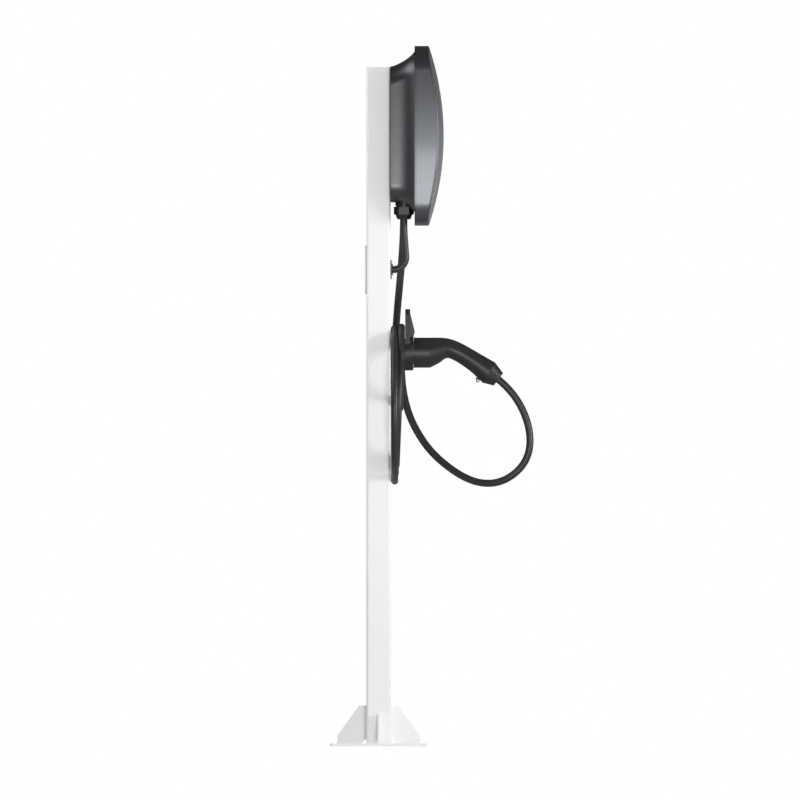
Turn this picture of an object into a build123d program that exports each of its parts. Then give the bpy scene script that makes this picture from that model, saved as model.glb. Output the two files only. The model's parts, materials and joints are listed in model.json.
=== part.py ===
from build123d import *
import math
import os

# EV charging post. Sizes are in millimetres. +Z is up and the charger faces -Y.
# The origin is the middle of the base plate's underside, which is also the middle of the post.

# ------------------------------------------------------------------ post and base
POST_X = 100.0
POST_Y = 50.0
POST_WALL = 3.0
POST_CORNER = 5.0
POST_TOP = 1400.0
CAP_THICK = 3.0
CAP_SKIRT = 18.0
CAP_SKIRT_WALL = 2.5
BASE_X = 250.0
BASE_Y = 200.0
BASE_THICK = 6.0
BASE_CORNER = 6.0
ANCHOR_X = 200.0
ANCHOR_Y = 150.0
ANCHOR_R = 7.0
GROUND_CABLE_R = 20.0
GUSSET_THICK = 4.0
GUSSET_REACH = 60.0
GUSSET_LEDGE = 15.0
GUSSET_TOE = 16.0
WELD_RELIEF = 10.0
TALL_GUSSET = 78.0
LOW_GUSSET = 60.0
FIT = 0.3
# A cut runs this far past the face that it goes through.
PAST = 1.0
# A screw's thread stands this far out of the wall behind.
THREAD_PAST = 6.0

# ------------------------------------------------------------------ cable entry and service window in the post
ENTRY_Z = 982.5
WINDOW_X = 64.0
WINDOW_Z = 80.0
WINDOW_CORNER = 3.0
GASKET = 1.0
GASKET_LAP = 1.0
SERVICE_LAP = 10.0
SERVICE_THICK = 2.5
SERVICE_CORNER = 6.0
SERVICE_SCREW_R = 2.0
SERVICE_SCREW_EDGE = 6.0
SERVICE_SCREW_LENGTH = 12.0
ENTRY_PLATE = 40.0
ENTRY_PLATE_THICK = 2.2
ENTRY_PLATE_CORNER = 4.0
ENTRY_SCREW_R = 1.5
ENTRY_SCREW_EDGE = 4.0
ENTRY_SCREW_LENGTH = 9.0
GROMMET_WALL = 3.0
GROMMET_FLARE = 1.6
GROMMET_LIP = 2.4
GROMMET_TAIL = 2.0
RAIL_WIDTH = 35.0
RAIL_CROWN = 25.0
RAIL_DEPTH = 7.5
RAIL_SHEET = 1.0
RAIL_LENGTH = 84.0
RAIL_DROP = 37.0
RAIL_SCREW_R = 2.0
RAIL_SCREW_X = 36.0
RAIL_SCREW_LENGTH = 6.0
POST_TERMINALS = 5
TERMINAL_PITCH = 8.2
TERMINAL_GAP = 0.2
TERMINAL_Z = 42.0
TERMINAL_Y = 24.0
TERMINAL_WELL_R = 2.2
TERMINAL_WELL_DEPTH = 8.0
TERMINAL_WELL_RISE = 13.0
SUPPLY_CORES = 3
SUPPLY_CORE_D = 3.6
SUPPLY_CORE_PITCH = 4.4
SUPPLY_CORE_REACH = 12.0
CORE_BEND_R = 8.0
EARTH_STUD_R = 4.0
EARTH_STUD_LENGTH = 22.0
EARTH_STUD_DROP = 10.0
EARTH_NUT_AF = 13.0
EARTH_NUT = 6.5
EARTH_NUT_OUT = 14.0

# ------------------------------------------------------------------ charger
CHARGER_DROP = 141.9
COVER_HALF_X = 103.0
COVER_HALF_Z = 185.3
COVER_BOW_X = 10.0
COVER_BOW_Z = 9.0
COVER_CORNER = 50.0
SEAM_DEPTH = 53.4
FLANGE_THICK = 4.0
COVER_DEPTH = 56.0
FACE_RADIUS = 575.0
FACE_CROWN = 11.6
COVER_WALL = 3.0
COVER_FRONT = 6.0
COVER_EDGE = 4.0
COVER_LIP = 3.0
PANEL_INSET = 6.5
PANEL_THICK = 3.0
PANEL_GAP = 1.0
# The panel's and slot's blanks start this far in front of the seam, behind the crowned face everywhere.
PANEL_BLANK = 6.0
SLOT_BLANK = 12.0
BODY_HALF_X = 82.5
BODY_UP = 142.9
BODY_DOWN = 137.1
BODY_BOW = 1.5
BODY_CORNER = 38.0
BODY_WALL = 4.0
# How the body flares towards the seam: share of its depth, growth of half width, top, bottom and corner.
BODY_FLARE = [
    (0.0, 0.0, 0.0, 0.0, 0.0),
    (0.324, 0.2, 5.6, 0.5, 0.0),
    (0.587, 1.0, 12.8, 5.0, 1.0),
    (0.85, 4.5, 22.7, 16.0, 3.0),
    (1.0, 9.0, 31.5, 23.0, 5.0),
]
CAVITY_STEP = 36.0
CAVITY_RISE = 10.0
FLOOR_FLAT = 2.0
POCKET_SIDE = 34.0
POCKET_WALL = 2.5
BRACKET_X = 84.0
BRACKET_Z = 190.0
BRACKET_THICK = 2.5
BRACKET_CORNER = 4.0
BRACKET_ROOM = 4.0
BRACKET_SIDE_ROOM = 3.0
BRACKET_WINDOW_X = 36.0
BRACKET_WINDOW_Z = 90.0
BRACKET_SCREW_R = 3.0
BRACKET_HEAD_R = 5.2
BRACKET_HEAD = 1.4
BRACKET_PITCH_X = 60.0
BRACKET_PITCH_Z = 150.0
SEAL_INSET = 10.0
SEAL_WIDTH = 3.0
SEAL_DEPTH = 2.0
COVER_SCREW_INSET = 5.5
COVER_SCREW_R = 2.0
COVER_SCREW_Z = 90.0
COVER_SCREW_GRIP = 9.0
COVER_BOSS_R = 4.5
COVER_BOSS = 14.0
LIGHT_X = 60.0
LIGHT_Z = 5.0
LIGHT_RISE = 96.0

# ------------------------------------------------------------------ charger electronics
BOARD_X = 124.0
BOARD_Z = 214.0
BOARD_THICK = 1.6
BOARD_CORNER = 3.0
BOARD_STANDOFF = 8.0
BOARD_RISE = 11.9
STANDOFF_R = 3.0
STANDOFF_EDGE = 6.0
STANDOFF_STUD_R = 1.4
STANDOFF_STUD = 1.5
# Components on the main board: width, height and depth, then places (x and rise) from the board's middle.
RELAY_SIZE = (32.0, 38.0, 27.0)
RELAY_X = 22.0
RELAY_RISE = -26.0
RELAY_CORNER = 2.5
SENSOR_R = 17.0
SENSOR_BORE_R = 9.0
SENSOR_DEPTH = 15.0
SENSOR_RISE = -66.0
STRIP_SIZE = (34.0, 18.0, 18.0)
STRIP_RISE = -94.0
STRIP_POLES = (-1, 0, 1)
STRIP_PITCH = 10.5
STRIP_WELL_R = 3.0
STRIP_WELL_DEPTH = 9.0
SUPPLY_UNIT_SIZE = (34.0, 40.0, 26.0)
SUPPLY_UNIT_PLACE = (-36.0, 52.0)
SUPPLY_UNIT_CORNER = 2.0
CAPACITOR_R = 7.0
CAPACITOR_LENGTH = 22.0
CAPACITOR_XS = (-8.0, 10.0, 28.0)
CAPACITOR_RISE = 82.0
CORE_D = 3.4
CORE_PITCH = 4.2
CORE_SPREAD = 7.0
CORE_START = 0.6
CORE_KNEE = 12.0
CORE_DEPTH = 6.0
CORE_GAP = 1.0
ANTENNA_SIDE = 62.0
ANTENNA_CORNER = 4.0
ANTENNA_HOLE_R = 12.0
ANTENNA_DROP = 10.0
ANTENNA_DEPTH = 14.0
LIGHT_BOARD_HALF_X = 38.0
LIGHT_BOARD_HALF_Z = 8.0
LIGHT_BOARD_DEPTH = 24.0

# ------------------------------------------------------------------ glands and cables
CABLE_D = 15.0
SUPPLY_D = 14.6
GLAND_SPREAD = 28.0
# Middle of a gland to the back of the housing's flange.
GLAND_ROOM = 22.1
GLAND_THREAD_R = 16.0
GLAND_BORE_R = 10.0
GLAND_AF = 36.0
GLAND_COLLAR_R = 17.7
GLAND_COLLAR = 7.0
GLAND_NECK = 2.0
GLAND_NUT = 16.0
GLAND_DOME = 10.0
GLAND_DOME_R = 13.4
GLAND_DOME_STEP = 0.4
GLAND_LIP = 3.0
GLAND_SEAL_R = 11.0
GLAND_GRIP = 2.0
CABLE_ROOM = 0.6
CABLE_SLIP = 0.06
CABLE_STUB = 6.0
SLEEVE_STUB = 3.0
LOCKNUT = 6.0

# ------------------------------------------------------------------ holster and connector
HOLSTER_Z = 811.2
NOSE_R = 23.3
NOSE_WALL = 2.6
NOSE_LENGTH = 37.0
NOSE_FLAT = 5.0
NOSE_FLAT_LENGTH = 26.0
SOCKET_GAP = 1.0
HUB_WALL = 4.4
HUB_DEPTH = 30.0
HUB_FLOOR = 4.0
CUP_RIM = 12.4
FLANGE_DEPTH = 10.3
CUP_DEPTH = 17.1
SKIRT_DEPTH = 6.6
CUP_BEVEL = 2.2
FLANGE_RISE = 89.8
FLANGE_TOP_HALF = 27.0
FLANGE_WAIST = 3.0
TONGUE_CORNER = 14.0
CATCH_HALF = 15.0
CATCH_DROP = 8.0
CATCH_LIP = 2.9
CATCH_HEAD = 6.4
CATCH_CHIN = 4.1
CATCH_ROOT = 6.7
HOLSTER_SCREWS = 3
HOLSTER_SCREW_R = 2.5
HOLSTER_SCREW_CIRCLE = 15.0
HOLSTER_HEAD_R = 4.4
HOLSTER_HEAD = 2.6
BARREL_RISE = 7.7
COLLAR_RISE = 0.4
COLLAR_THICK = 3.7
SHELL_WALL = 3.0
SHELL_END = 4.0
CAP_SEAT = 0.3
CAP_BORE_DEPTH = 9.0
MOUTH_ROOM = 1.0
PAD_RISE = 0.7
PAD_START = 1.0
PAD_LENGTH = 27.3
PAD_LOW = -2.6
PAD_HIGH = 12.0
PAD_SIDE = 20.0
CONTACT_RECESS = 2.0
CONTACT_WALL = 1.2
INSULATOR_RECESS = 4.0
INSULATOR_FLAT = 16.0
SIGNAL_R = 1.5
POWER_R = 3.0
# Contact places in the nose: x and rise from its middle, and the pin's radius.
CONTACTS = [
    (-6.5, 11.0, SIGNAL_R),
    (6.5, 11.0, SIGNAL_R),
    (-12.5, 1.5, POWER_R),
    (0.0, 1.5, POWER_R),
    (12.5, 1.5, POWER_R),
    (-7.5, -10.5, POWER_R),
    (7.5, -10.5, POWER_R),
]
EYELET_R = 3.8
EYELET_HOLE_R = 1.7
EYELET_HALF_X = 4.0
EYELET_STEM = 7.0
EYELET_OUT = 128.4
EYELET_DROP = 57.6

# ------------------------------------------------------------------ coil of charging cable
COIL_GAP = 0.2
BIG_BOTTOM = 545.0
SMALL_BOTTOM = 696.0
BIG_HALF_X = 150.0
SMALL_HALF_X = 96.0
BIG_LAYERS = 3
TOP_LAYERS = 2

# ------------------------------------------------------------------ places worked out from the sizes
FRONT = -POST_Y / 2
BACK = POST_Y / 2
INNER_FRONT = FRONT + POST_WALL
SERVICE_X = WINDOW_X + 2 * SERVICE_LAP
SERVICE_Z = WINDOW_Z + 2 * SERVICE_LAP
ENTRY_X = -GLAND_SPREAD
RAIL_Z = ENTRY_Z - RAIL_DROP
TERMINAL_FRONT_Y = INNER_FRONT + RAIL_DEPTH
TERMINAL_TOP = RAIL_Z + TERMINAL_Z / 2
SUPPLY_END_Y = INNER_FRONT + THREAD_PAST

CHARGER_Z = POST_TOP - CHARGER_DROP
BODY_TOP = CHARGER_Z + BODY_UP
BODY_BOTTOM = CHARGER_Z - BODY_DOWN
BODY_FLOOR = BODY_BOTTOM + BODY_WALL
SEAM_Y = FRONT - SEAM_DEPTH
FACE_Y = SEAM_Y - COVER_DEPTH
CAVITY_BACK_Y = FRONT - BRACKET_ROOM - BODY_WALL
BOARD_Y = CAVITY_BACK_Y - BOARD_STANDOFF
BOARD_FRONT_Y = BOARD_Y - BOARD_THICK
BOARD_CENTRE_Z = CHARGER_Z + BOARD_RISE
STRIP_Z = BOARD_CENTRE_Z + STRIP_RISE
LIGHT_BOARD_Y = FACE_Y + LIGHT_BOARD_DEPTH

GLAND_XS = (-GLAND_SPREAD, GLAND_SPREAD)
GLAND_Y = SEAM_Y + FLANGE_THICK + GLAND_ROOM
NUT_TOP = BODY_BOTTOM - GLAND_COLLAR - GLAND_NECK
NUT_BOTTOM = NUT_TOP - GLAND_NUT
GLAND_BOTTOM = NUT_BOTTOM - GLAND_DOME
CABLE_END_Z = BODY_FLOOR + LOCKNUT + CABLE_STUB

SOCKET_R = NOSE_R + SOCKET_GAP
HUB_R = SOCKET_R + HUB_WALL
HUB_TOP = HOLSTER_Z + HUB_R
CUP_R = SOCKET_R + CUP_RIM
HUB_Y = FRONT - HUB_DEPTH
CUP_Y = HUB_Y - CUP_DEPTH
NOSE_TIP_Y = CUP_Y - FIT + NOSE_LENGTH
BARREL_R = NOSE_R + BARREL_RISE
SHELL_Y = CUP_Y - FIT - COLLAR_THICK
# Handle sections along its bent axis: y, z, slope below level in degrees, half width, half height.
HANDLE = [
    (SHELL_Y, HOLSTER_Z, 0.0, BARREL_R, BARREL_R),
    (SHELL_Y - 30.0, HOLSTER_Z, 0.0, BARREL_R, BARREL_R),
    (SHELL_Y - 51.8, HOLSTER_Z + 4.6, 7.0, 27.0, 26.4),
    (SHELL_Y - 69.6, HOLSTER_Z + 8.2, 14.0, 21.5, 20.0),
    (SHELL_Y - 92.0, HOLSTER_Z - 0.8, 31.0, 19.5, 19.2),
    (SHELL_Y - 123.0, HOLSTER_Z - 20.1, 30.5, 20.0, 20.5),
    (SHELL_Y - 151.6, HOLSTER_Z - 41.3, 31.3, 21.0, 24.7),
]
CAP_END = (SHELL_Y - 171.1, HOLSTER_Z - 55.0, 37.0, 14.5, 16.1)
HANDLE_STEPS = 4
CABLE_R = CABLE_D / 2

NODES = {}


# ------------------------------------------------------------------ small helpers
def block(x0, x1, y0, y1, z0, z1):
    """Box between two corners."""
    middle = ((x0 + x1) / 2, (y0 + y1) / 2, (z0 + z1) / 2)
    return Pos(*middle) * Box(abs(x1 - x0), abs(y1 - y0), abs(z1 - z0))


def rod_y(radius, y0, y1, x, z):
    """Cylinder along Y from y0 to y1."""
    return Pos(x, (y0 + y1) / 2, z) * Rot(90, 0, 0) * Cylinder(radius, abs(y1 - y0))


def rod_z(radius, z0, z1, x, y):
    """Cylinder along Z from z0 to z1."""
    return Pos(x, y, (z0 + z1) / 2) * Cylinder(radius, abs(z1 - z0))


def rod_x(radius, x0, x1, y, z):
    """Cylinder along X from x0 to x1."""
    return Pos((x0 + x1) / 2, y, z) * Rot(0, 90, 0) * Cylinder(radius, abs(x1 - x0))


def hexagon(across_flats, turn):
    """Hexagon with corners towards sketch up and down when the turn is 30, or flats there when it is 0."""
    return Rot(0, 0, turn) * RegularPolygon(across_flats / 2, 6, major_radius=False)


def hexagon_z(across_flats, z0, z1, x, y, turn=30):
    """Hexagonal prism along Z."""
    return Pos(x, y, z0) * extrude(hexagon(across_flats, turn), z1 - z0)


def facing_front(y):
    """Plane at depth y whose sketch is seen from the front: u is X, v is Z and extrusion goes to -Y."""
    return Plane(origin=(0, y, 0), x_dir=(1, 0, 0), z_dir=(0, -1, 0))


def plate_y(sketch, y0, depth):
    """Front-view sketch, extruded from y0 towards -Y."""
    return extrude(facing_front(y0) * sketch, depth)


def profile_x(points, x0, x1):
    """Side-view polygon of (y, z) points, extruded between two x."""
    side = Plane(origin=(x0, 0, 0), x_dir=(0, 1, 0), z_dir=(1, 0, 0))
    return extrude(side * make_face(Polyline(*points, close=True)), x1 - x0)


def four(dx, dz, x=0.0, z=0.0):
    """Corners of a rectangle about a middle."""
    return [(x + sx * dx / 2, z + sz * dz / 2) for sx in (-1, 1) for sz in (-1, 1)]


def join(pieces):
    """Separate solids of one node."""
    return Compound(children=list(pieces))


def countersunk_y(radius, x, z, face_y, length, inward):
    """Flush screw along Y: a cone head in the face and a shank that points inward (+1 or -1)."""
    cone = Rot(90 * inward, 0, 0) * Cone(radius, 2 * radius, radius)
    head = Pos(x, face_y + inward * radius / 2, z) * cone
    return head + rod_y(radius, face_y + inward * radius, face_y + inward * length, x, z)


# ------------------------------------------------------------------ post and base
def tube_outline(shrink):
    """Post section, shrunk by an amount all round."""
    corner = max(POST_CORNER - shrink, 1.0)
    return RectangleRounded(POST_X - 2 * shrink, POST_Y - 2 * shrink, corner)


def base_plate():
    plate = extrude(RectangleRounded(BASE_X, BASE_Y, BASE_CORNER), BASE_THICK)
    for x, y in four(ANCHOR_X, ANCHOR_Y):
        plate -= rod_z(ANCHOR_R, -PAST, BASE_THICK + PAST, x, y)
    return plate - rod_z(GROUND_CABLE_R, -PAST, BASE_THICK + PAST, 0, 0)


def gusset(height, start):
    """Trapezoid web plate that starts at a post face and runs outwards along +X, with a weld relief."""
    z0 = BASE_THICK
    corners = [
        (start, z0 + WELD_RELIEF),
        (start, z0 + height),
        (start + GUSSET_LEDGE, z0 + height),
        (start + GUSSET_REACH, z0 + GUSSET_TOE),
        (start + GUSSET_REACH, z0),
        (start + WELD_RELIEF, z0),
    ]
    upright = Plane(origin=(0, GUSSET_THICK / 2, 0), x_dir=(1, 0, 0), z_dir=(0, -1, 0))
    return extrude(upright * make_face(Polyline(*corners, close=True)), GUSSET_THICK)


def post_tube():
    height = POST_TOP - CAP_THICK - BASE_THICK
    body = Pos(0, 0, BASE_THICK) * extrude(tube_outline(0) - tube_outline(POST_WALL), height)
    window_low, window_high = ENTRY_Z - WINDOW_Z / 2, ENTRY_Z + WINDOW_Z / 2
    body -= block(-WINDOW_X / 2, WINDOW_X / 2, 0, BACK + PAST, window_low, window_high)
    body -= rod_y(SUPPLY_D / 2 + GROMMET_WALL, FRONT - PAST, 0, ENTRY_X, ENTRY_Z)
    for x, z in bracket_screw_places():
        body -= rod_y(BRACKET_SCREW_R, FRONT - PAST, 0, x, z)
    for x, z in holster_screw_places():
        body -= rod_y(HOLSTER_SCREW_R, FRONT - PAST, 0, x, z)
    for x, z in service_screw_places():
        body -= rod_y(SERVICE_SCREW_R, 0, BACK + PAST, x, z)
    for x, z in entry_screw_places():
        body -= rod_y(ENTRY_SCREW_R, FRONT - PAST, 0, x, z)
    for screw in rail_screws():
        body -= screw
    return body


def top_cap():
    lid = extrude(tube_outline(0), CAP_THICK)
    skirt = extrude(tube_outline(POST_WALL) - tube_outline(POST_WALL + CAP_SKIRT_WALL), CAP_SKIRT)
    return Pos(0, 0, POST_TOP - CAP_THICK) * lid + Pos(0, 0, POST_TOP - CAP_THICK - CAP_SKIRT) * skirt


# ------------------------------------------------------------------ service window and cable entry
def service_screw_places():
    return four(SERVICE_X - 2 * SERVICE_SCREW_EDGE, SERVICE_Z - 2 * SERVICE_SCREW_EDGE, z=ENTRY_Z)


def entry_screw_places():
    pitch = ENTRY_PLATE - 2 * ENTRY_SCREW_EDGE
    return four(pitch, pitch, ENTRY_X, ENTRY_Z)


def service_blank(y0, thick):
    """Outline of the cover and its gasket behind the post, with the four screw holes."""
    outline = RectangleRounded(SERVICE_X, SERVICE_Z, SERVICE_CORNER)
    blank = Pos(0, 0, ENTRY_Z) * plate_y(outline, y0 + thick, thick)
    for x, z in service_screw_places():
        blank -= rod_y(SERVICE_SCREW_R, y0 - PAST, y0 + thick + PAST, x, z)
    return blank


def service_gasket():
    """Flat frame that laps a little over the window's edge."""
    opening = RectangleRounded(WINDOW_X - 2 * GASKET_LAP, WINDOW_Z - 2 * GASKET_LAP, WINDOW_CORNER)
    return service_blank(BACK, GASKET) - Pos(0, 0, ENTRY_Z) * plate_y(opening, BACK + 2 * GASKET, 3 * GASKET)


def service_screws():
    face = BACK + GASKET + SERVICE_THICK
    places = service_screw_places()
    return [countersunk_y(SERVICE_SCREW_R, x, z, face, SERVICE_SCREW_LENGTH, -1) for x, z in places]


def service_cover():
    cover = service_blank(BACK + GASKET, SERVICE_THICK)
    for screw in service_screws():
        cover -= screw
    return cover


def entry_plate():
    outline = RectangleRounded(ENTRY_PLATE, ENTRY_PLATE, ENTRY_PLATE_CORNER)
    plate = Pos(ENTRY_X, 0, ENTRY_Z) * plate_y(outline, FRONT, ENTRY_PLATE_THICK)
    plate -= rod_y(SUPPLY_D / 2 + GROMMET_WALL, FRONT - ENTRY_PLATE_THICK - PAST, 0, ENTRY_X, ENTRY_Z)
    for screw in entry_screws():
        plate -= screw
    return plate


def entry_screws():
    face = FRONT - ENTRY_PLATE_THICK
    places = entry_screw_places()
    return [countersunk_y(ENTRY_SCREW_R, x, z, face, ENTRY_SCREW_LENGTH, 1) for x, z in places]


def entry_grommet():
    """Rubber bush in the entry plate and the post's wall, flared at both ends."""
    hole, outer = SUPPLY_D / 2, SUPPLY_D / 2 + GROMMET_WALL
    front, lip = FRONT - ENTRY_PLATE_THICK, outer + GROMMET_FLARE
    bush = rod_y(outer, front, INNER_FRONT, ENTRY_X, ENTRY_Z)
    bush += rod_y(lip, front - GROMMET_LIP, front, ENTRY_X, ENTRY_Z)
    bush += rod_y(lip, INNER_FRONT, INNER_FRONT + GROMMET_TAIL, ENTRY_X, ENTRY_Z)
    return bush - rod_y(hole, front - GROMMET_LIP - PAST, 0, ENTRY_X, ENTRY_Z)


def din_rail():
    """Top-hat rail on the inside of the post's front wall."""
    y0, half, crown = INNER_FRONT, RAIL_LENGTH / 2, RAIL_CROWN / 2
    rim = y0 + RAIL_DEPTH
    rail = block(-half, half, y0, y0 + RAIL_SHEET, RAIL_Z - crown, RAIL_Z + crown)
    for side in (-1, 1):
        outside = RAIL_Z + side * crown
        inside = outside - side * RAIL_SHEET
        rail += block(-half, half, y0, rim, inside, outside)
        rail += block(-half, half, rim - RAIL_SHEET, rim, inside, RAIL_Z + side * RAIL_WIDTH / 2)
    for x in (-RAIL_SCREW_X, RAIL_SCREW_X):
        rail -= rod_y(RAIL_SCREW_R, y0 - PAST, y0 + RAIL_SHEET + PAST, x, RAIL_Z)
    return rail


def rail_screws():
    """Flush screws through the post's front wall into the rail."""
    xs = (-RAIL_SCREW_X, RAIL_SCREW_X)
    return [countersunk_y(RAIL_SCREW_R, x, RAIL_Z, FRONT, RAIL_SCREW_LENGTH, 1) for x in xs]


def terminal_x(index):
    """The first three terminals stand in a row under the supply lead's cores."""
    return ENTRY_X + (index - 1) * TERMINAL_PITCH


def post_terminal(index):
    """One rail terminal: a block with two screw wells at the back."""
    x, back = terminal_x(index), TERMINAL_FRONT_Y + TERMINAL_Y
    half = (TERMINAL_PITCH - TERMINAL_GAP) / 2
    body = block(x - half, x + half, TERMINAL_FRONT_Y, back, TERMINAL_TOP - TERMINAL_Z, TERMINAL_TOP)
    for side in (-1, 1):
        z = RAIL_Z + side * TERMINAL_WELL_RISE
        body -= rod_y(TERMINAL_WELL_R, back - TERMINAL_WELL_DEPTH, back + PAST, x, z)
    return body


def supply_core(index):
    """Insulated core that spreads from the lead's end and bends down to its post terminal."""
    start = (ENTRY_X + (index - 1) * SUPPLY_CORE_PITCH, SUPPLY_END_Y + CORE_START, ENTRY_Z)
    x, y = terminal_x(index), SUPPLY_END_Y + SUPPLY_CORE_REACH
    path = FilletPolyline(start, (x, y, ENTRY_Z), (x, y, TERMINAL_TOP), radius=CORE_BEND_R)
    return swept(path, SUPPLY_CORE_D)


def earth_stud():
    """Welded earth stud on the post's side wall, with its nut."""
    wall, z = POST_X / 2 - POST_WALL, ENTRY_Z - EARTH_STUD_DROP
    stud = rod_x(EARTH_STUD_R, wall - EARTH_STUD_LENGTH, wall, 0, z)
    nut = Pos(wall - EARTH_NUT_OUT, 0, z) * Rot(0, 90, 0) * extrude(hexagon(EARTH_NUT_AF, 0), EARTH_NUT)
    return [stud, nut - rod_x(EARTH_STUD_R, 0, wall, 0, z)]


# ------------------------------------------------------------------ charger shells
def pillow(half_x, top, bottom, bow_x, bow_z, corner):
    """Front-view outline with four bowed sides and rounded corners."""
    middle = (top + bottom) / 2
    x, high, low = half_x - bow_x, top - bow_z, bottom + bow_z
    sides = [
        ThreePointArc((-x, low), (-half_x, middle), (-x, high)),
        ThreePointArc((-x, high), (0, top), (x, high)),
        ThreePointArc((x, high), (half_x, middle), (x, low)),
        ThreePointArc((x, low), (0, bottom), (-x, low)),
    ]
    sketch = make_face(Curve() + sides)
    return fillet(sketch.vertices(), corner)


def cover_outline(inset):
    """Outline of the charger's widest rim, inset by an amount."""
    top, bottom = CHARGER_Z + COVER_HALF_Z - inset, CHARGER_Z - COVER_HALF_Z + inset
    corner = COVER_CORNER - 0.6 * inset
    return pillow(COVER_HALF_X - inset, top, bottom, COVER_BOW_X, COVER_BOW_Z, corner)


def body_outline(half_x, top, bottom, corner):
    return pillow(half_x, top, bottom, BODY_BOW, BODY_BOW, corner)


def seal_outline():
    return cover_outline(SEAL_INSET) - cover_outline(SEAL_INSET + SEAL_WIDTH)


def crown_ring(depth):
    """Everything behind the charger's crowned face, less a depth: a ring about a far axis along X."""
    front = FACE_Y + depth
    half = COVER_HALF_X + 5 * PAST
    edge = front + FACE_CROWN
    face = ThreePointArc((-half, edge), (0, front), (half, edge))
    deep = Polyline((half, edge), (half, FRONT), (-half, FRONT), (-half, edge))
    sketch = Plane(origin=(0, 0, CHARGER_Z)) * make_face(Curve() + [face, deep])
    return revolve(sketch, Axis((0, FACE_Y + FACE_RADIUS, CHARGER_Z), (1, 0, 0)), 360)


def crowned(sketch, depth, y0):
    """Front-view sketch from y0 forwards, cut off by the crowned face less a depth."""
    return plate_y(sketch, y0, FRONT - FACE_Y) & crown_ring(depth)


def flared_body():
    """Outer shape of the housing from the post to the seam flange."""
    depth = SEAM_DEPTH - FLANGE_THICK
    sections = []
    for share, wide, up, down, corner in BODY_FLARE:
        outline = body_outline(BODY_HALF_X + wide, BODY_TOP + up, BODY_BOTTOM - down, BODY_CORNER + corner)
        sections.append(facing_front(FRONT - share * depth) * outline)
    return loft(sections) + plate_y(cover_outline(0), SEAM_Y + FLANGE_THICK, FLANGE_THICK)


def housing_cavity():
    """Room for the electronics: narrow at the back, wider from the step on, with a flat floor."""
    narrow = (BODY_HALF_X - BODY_WALL, BODY_TOP - BODY_WALL, BODY_FLOOR, BODY_CORNER - BODY_WALL)
    wide = (BODY_HALF_X, BODY_TOP + CAVITY_RISE, BODY_FLOOR, BODY_CORNER)
    flat = GLAND_SPREAD + 0.75 * GLAND_AF
    cavity = plate_y(body_outline(*narrow), CAVITY_BACK_Y, SEAM_DEPTH)
    cavity += plate_y(body_outline(*wide), FRONT - CAVITY_STEP, SEAM_DEPTH)
    return cavity + block(-flat, flat, CAVITY_BACK_Y, SEAM_Y, BODY_FLOOR, BODY_FLOOR + FLOOR_FLAT)


def rear_housing():
    """Moulded body that flares out to the seam, with a cavity, a bracket recess and a gland pocket."""
    body = flared_body() - housing_cavity()
    room = 2 * BRACKET_SIDE_ROOM
    recess = RectangleRounded(BRACKET_X + room, BRACKET_Z + room, BRACKET_CORNER)
    body -= Pos(0, 0, CHARGER_Z) * plate_y(recess, FRONT + PAST, BRACKET_ROOM + PAST)
    pocket = GLAND_SPREAD + POCKET_SIDE
    below = CHARGER_Z - COVER_HALF_Z
    body -= block(-pocket, pocket, FRONT - POCKET_WALL, SEAM_Y + FLANGE_THICK, below, BODY_BOTTOM)
    body -= plate_y(seal_outline(), SEAM_Y + SEAL_DEPTH, SEAL_DEPTH + PAST)
    for screw, (x, z) in zip(cover_screws(), cover_screw_places()):
        body -= screw + rod_y(2 * COVER_SCREW_R, FRONT - SEAM_DEPTH / 3, SEAM_Y + FLANGE_THICK, x, z)
    for x in GLAND_XS:
        body -= rod_z(GLAND_THREAD_R, BODY_BOTTOM - PAST, BODY_FLOOR + FLOOR_FLAT + PAST, x, GLAND_Y)
    return body


def cover_screw_places():
    """Six screws just inside the rim: two on each side, one at the top and one at the bottom."""
    sag = COVER_BOW_X * (COVER_SCREW_Z / (COVER_HALF_Z - COVER_BOW_Z)) ** 2
    side = COVER_HALF_X - sag - COVER_SCREW_INSET
    rise = COVER_HALF_Z - COVER_SCREW_INSET
    return four(2 * side, 2 * COVER_SCREW_Z, z=CHARGER_Z) + [(0, CHARGER_Z - rise), (0, CHARGER_Z + rise)]


def cover_screws():
    """Flush screws from behind the flange into the bosses of the cover."""
    behind, length = SEAM_Y + FLANGE_THICK, FLANGE_THICK + COVER_SCREW_GRIP
    return [countersunk_y(COVER_SCREW_R, x, z, behind, length, -1) for x, z in cover_screw_places()]


def light_slot(y0):
    """Rounded slot for the status light, from y0 forwards."""
    outline = Pos(0, CHARGER_Z + LIGHT_RISE) * RectangleRounded(LIGHT_X, LIGHT_Z, 0.48 * LIGHT_Z)
    return plate_y(outline, y0, FRONT - FACE_Y)


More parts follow.
